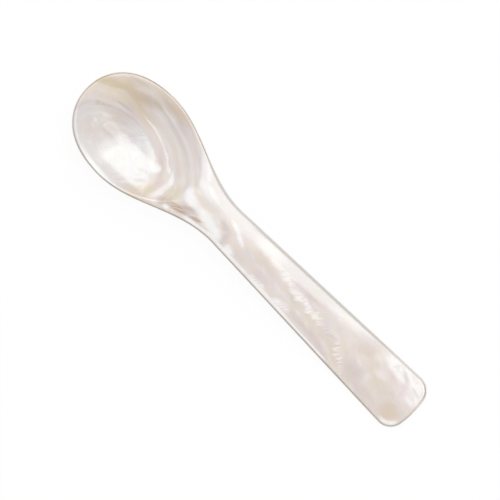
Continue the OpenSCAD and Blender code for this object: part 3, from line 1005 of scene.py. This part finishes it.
def shell_material(shape, colours, finish):
    """Polished mother-of-pearl."""
    material = bpy.data.materials.new(SHELL)
    material.use_nodes = True
    tree = material.node_tree
    tree.nodes.clear()
    paint = ShellPaint(tree, shape, colours)

    s, _, _ = split(paint.place)
    in_bowl = rise(paint.scoop, -0.03, 0.06).above(rise(s, 30.0, 27.0))
    top = over(handle_figure(paint), bowl_figure(paint), in_bowl)
    shell = Layers(paint, over(underside_figure(paint), top, rise(paint.upper, 0.3, 0.7)))
    lay_pearly_tints(paint, shell)
    lay_edge_lines(paint, shell)

    layers = paint.grain((4.0, 0.8, 1.5), 5.0, paint.wandered((6.0, 4.0, 4.0), 0.8), 21.0, 18.0)
    carved_deep = rise(paint.scoop, 0.0, 2.0)
    height = layers * 0.6 + paint.barbs(paint.wandered((2.0, 1.5, 2.0), 0.3), 48.0, 9.0) * carved_deep * 0.4
    relief = put(tree, "ShaderNodeBump", {
        "Strength": between(0.04, 0.16, carved_deep), "Distance": RELIEF_DEPTH, "Height": height})
    roughness = between(finish.layer_roughness * 0.8, finish.layer_roughness * 1.3, layers)
    polished = put(tree, "ShaderNodeBsdfPrincipled", {
        "Base Color": shell.colour, "Metallic": finish.lustre, "Roughness": roughness, "IOR": LAYER_IOR,
        "Normal": term(relief),
        "Subsurface Weight": finish.glow, "Subsurface Radius": REACH_OF_COLOURS,
        "Subsurface Scale": LIGHT_REACH, "Coat Weight": finish.polish,
        "Coat Roughness": finish.polish_roughness, "Coat IOR": POLISH_IOR})
    put(tree, "ShaderNodeOutputMaterial", {"Surface": term(polished)})
    return material


class CAVIAR_OT_carve_spoon(bpy.types.Operator):
    """Carve the spoon from one piece of mother-of-pearl"""

    bl_idname = "caviar.carve_spoon"
    bl_label = "Carve Spoon"

    def execute(self, context):
        scene = context.scene
        values = {name: getattr(scene.spoon_shape, name) for name in SIZE_NAMES}
        values["shell"] = shell_material(scene.spoon_shape, scene.shell_colours, scene.shell_finish)
        piece = carved("carved_spoon", carving_tree(), values)
        require_solid(piece)
        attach(piece, "root")
        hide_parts(SPOON)
        return {"FINISHED"}


def floor_material(stage):
    """A white floor, which stays white to the eye and keeps a faint shadow."""
    material = bpy.data.materials.new("studio_floor")
    material.use_nodes = True
    tree = material.node_tree
    tree.nodes.clear()
    path = put(tree, "ShaderNodeLightPath")
    seen = term(path, "Is Camera Ray").above(term(path, "Is Glossy Ray"))
    seen = seen.above(term(path, "Is Transmission Ray"))
    white = tuple(stage.floor_white) + (1.0,)
    speckle = term(put(tree, "ShaderNodeTexNoise", {
        "Vector": term(put(tree, "ShaderNodeTexCoord"), "Object"), "Scale": 40.0}))
    lit = put(tree, "ShaderNodeBsdfDiffuse", {
        "Color": white, "Roughness": between(0.4, 0.6, speckle)})
    glowing = put(tree, "ShaderNodeEmission", {"Color": white, "Strength": 1.0})
    surface = put(tree, "ShaderNodeMixShader", {0: seen * FLOOR_GLOW, 1: term(lit), 2: term(glowing)})
    put(tree, "ShaderNodeOutputMaterial", {"Surface": term(surface)})
    return material


def studio_world(stage):
    """Dim light from all round, which looks white."""
    world = bpy.data.worlds.new("studio")
    world.use_nodes = True
    tree = world.node_tree
    tree.nodes.clear()
    path = put(tree, "ShaderNodeLightPath")
    seen = term(path, "Is Camera Ray").above(term(path, "Is Transmission Ray"))
    strength = between(stage.fill, 1.0, seen)
    light = put(tree, "ShaderNodeBackground", {"Color": (1.0, 1.0, 1.0, 1.0), "Strength": strength})
    put(tree, "ShaderNodeOutputWorld", {"Surface": term(light)})
    return world


def add_lamp(scene, name, stage, along, width, height):
    """A soft lamp in the sloping plane beside the spoon, at a place along the spoon."""
    data = bpy.data.lights.new(name, "AREA")
    data.shape = "RECTANGLE"
    data.size = width
    data.size_y = height
    data.energy = stage.lamp_glow * math.pi * width * height
    lamp = bpy.data.objects.new(name, data)
    scene.collection.objects.link(lamp)
    facing = Vector((0.0, math.sin(stage.lamp_tilt), math.cos(stage.lamp_tilt)))
    slope = Vector((0.0, math.cos(stage.lamp_tilt), -math.sin(stage.lamp_tilt)))
    away = height / 2 - stage.lamp_overlap
    lamp.location = facing * stage.lamp_distance + slope * away + Vector((along, 0.0, 0.0))
    lamp.rotation_euler = facing.to_track_quat("Z", "Y").to_euler()
    lamp.visible_camera = False


class CAVIAR_OT_set_stage(bpy.types.Operator):
    """Set the floor, the lamps and the camera round the spoon"""

    bl_idname = "caviar.set_stage"
    bl_label = "Set Stage"

    def execute(self, context):
        scene = context.scene
        stage = scene.studio_stage
        scene.view_settings.view_transform = "Standard"
        scene.world = studio_world(stage)

        half = stage.floor_size / 2
        floor_mesh = bpy.data.meshes.new("floor")
        level = -FLOOR_GAP
        floor_mesh.from_pydata([(-half, -half, level), (half, -half, level), (half, half, level),
                                (-half, half, level)], [], [(0, 1, 2, 3)])
        floor_mesh.materials.append(floor_material(stage))
        floor = bpy.data.objects.new("floor", floor_mesh)
        scene.collection.objects.link(floor)

        # The small lamp widens the near end of the soft lamp towards the end of the handle
        beside = (stage.lamp_width + stage.wing_width) / 2 - stage.lamp_shift
        add_lamp(scene, "soft_lamp", stage, -stage.lamp_shift, stage.lamp_width, stage.lamp_height)
        add_lamp(scene, "wing_lamp", stage, beside, stage.wing_width, stage.wing_height)

        camera_data = bpy.data.cameras.new("camera")
        camera_data.sensor_width = SENSOR_WIDTH
        camera_data.lens = SENSOR_WIDTH * stage.camera_height / stage.view_width
        camera_data.clip_end = 10 * stage.floor_size
        camera = bpy.data.objects.new("camera", camera_data)
        scene.collection.objects.link(camera)
        camera.location = (-stage.view_shift, 0.0, stage.camera_height)
        camera.rotation_euler = (0.0, 0.0, CAMERA_TURN)
        scene.camera = camera
        return {"FINISHED"}


class CAVIAR_PT_spoon(bpy.types.Panel):
    """Sizes, colours, finish and stage of the spoon"""

    bl_label = "Caviar Spoon"
    bl_idname = "CAVIAR_PT_spoon"
    bl_space_type = "VIEW_3D"
    bl_region_type = "UI"
    bl_category = "Spoon"

    def draw(self, context):
        scene = context.scene
        for settings, operator in ((scene.spoon_shape, None), (scene.shell_colours, None),
                                   (scene.shell_finish, "caviar.carve_spoon"),
                                   (scene.studio_stage, "caviar.set_stage")):
            column = self.layout.column(align=True)
            for name in settings.__annotations__:
                column.prop(settings, name)
            if operator:
                self.layout.operator(operator)


SETTINGS = {
    "spoon_shape": SpoonShape,
    "shell_colours": ShellColours,
    "shell_finish": ShellFinish,
    "studio_stage": StudioStage,
}
CLASSES = (*SETTINGS.values(), CAVIAR_OT_carve_spoon, CAVIAR_OT_set_stage, CAVIAR_PT_spoon)


def register():
    for item in CLASSES:
        bpy.utils.register_class(item)
    for name, group in SETTINGS.items():
        setattr(bpy.types.Scene, name, bpy.props.PointerProperty(type=group))


def unregister():
    for name in SETTINGS:
        delattr(bpy.types.Scene, name)
    for item in reversed(CLASSES):
        bpy.utils.unregister_class(item)


def main():
    register()
    bpy.ops.caviar.carve_spoon()
    bpy.ops.caviar.set_stage()


if __name__ == "__main__":
    main()
